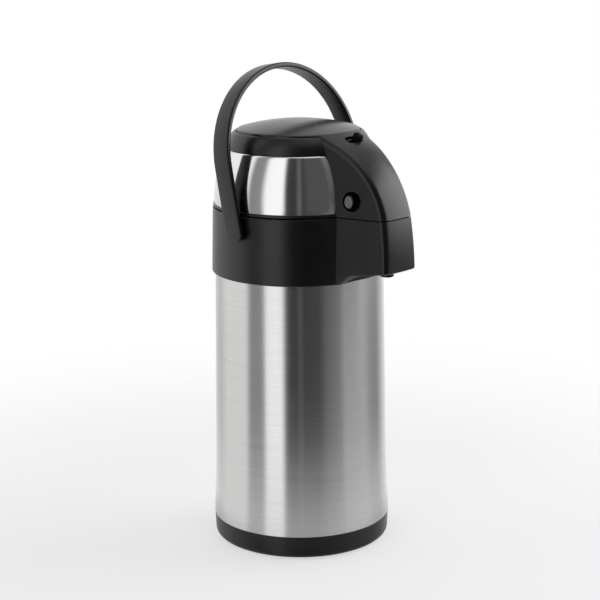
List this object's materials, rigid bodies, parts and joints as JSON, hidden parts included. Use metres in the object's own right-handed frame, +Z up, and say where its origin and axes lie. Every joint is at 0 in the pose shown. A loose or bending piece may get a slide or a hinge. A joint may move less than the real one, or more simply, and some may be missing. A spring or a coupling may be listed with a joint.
{
  "type": "thermal coffee airpot",
  "caption": "Tall insulated steel airpot with a push-button pump lid, a beak-shaped spout and a swinging carry handle, for keeping and serving hot coffee.",
  "frame": {"origin": "on the table under the middle of the base, on the vessel's axis", "axes": "+Z up along the vessel's axis, the spout towards -Y, the handle's pivots on X"},
  "size_m": [0.1692, 0.2092, 0.4329],
  "materials": {
    "black_plastic": "satin black moulding",
    "button_plastic": "satin dark grey moulding",
    "grey_plastic": "plain moulding",
    "rubber": "matte",
    "silicone": "matte, translucent grey",
    "brushed_shell": "brushed around the body",
    "polished_crown": "polished, faintly brushed",
    "liner_steel": "satin",
    "zinc_steel": "plated"
  },
  "bodies": {
    "pot": {"foot_pad": "rubber", "base_cup": "black_plastic", "base_screws": "zinc_steel", "outer_shell": "brushed_shell", "inner_liner": "liner_steel", "liner_pan": "liner_steel", "neck_ring": "black_plastic", "collar": "black_plastic", "stopper": "grey_plastic", "stopper_gasket": "silicone", "siphon_tube": "liner_steel", "outlet_pipe": "grey_plastic", "spout_nozzle": "black_plastic", "hinge_pin": "zinc_steel"},
    "handle": {"handle": "black_plastic", "handle_pins": "black_plastic"},
    "lid": {"lid_housing": "black_plastic", "crown_band": "polished_crown", "lid_floor": "black_plastic", "lid_screws": "zinc_steel", "bellows": "rubber", "return_spring": "zinc_steel", "release_spring_left": "zinc_steel", "release_spring_right": "zinc_steel"},
    "button": {"pump_button": "black_plastic"},
    "lock": {"lock_slider": "black_plastic"},
    "release_left": {"release_button_left": "button_plastic"},
    "release_right": {"release_button_right": "button_plastic"}
  },
  "joints": [
    {"name": "handle_swing", "type": "hinge", "parent": "pot", "child": "handle", "pos_m": [0, 0, 0.293], "axis": [-1, 0, 0], "range_deg": [-95, 80]},
    {"name": "lid_open", "type": "hinge", "parent": "pot", "child": "lid", "pos_m": [0, 0.0835, 0.309], "axis": [-1, 0, 0], "range_deg": [0, 20]},
    {"name": "pump_press", "type": "slide", "parent": "lid", "child": "button", "axis": [0, 0, -1], "range_m": [0, 0.02], "stiffness_N_per_m": 900, "springref_m": -0.003, "deforming": ["bellows", "return_spring"]},
    {"name": "lock_slide", "type": "slide", "parent": "lid", "child": "lock", "axis": [-1, 0, 0], "range_m": [0, 0.008]},
    {"name": "release_left_press", "type": "slide", "parent": "lid", "child": "release_left", "axis": [0.9698, 0.2257, -0.0924], "range_m": [0, 0.003], "stiffness_N_per_m": 600, "springref_m": -0.001, "deforming": ["release_spring_left"]},
    {"name": "release_right_press", "type": "slide", "parent": "lid", "child": "release_right", "axis": [-0.9698, 0.2257, -0.0924], "range_m": [0, 0.003], "stiffness_N_per_m": 600, "springref_m": -0.001, "deforming": ["release_spring_right"]}
  ]
}
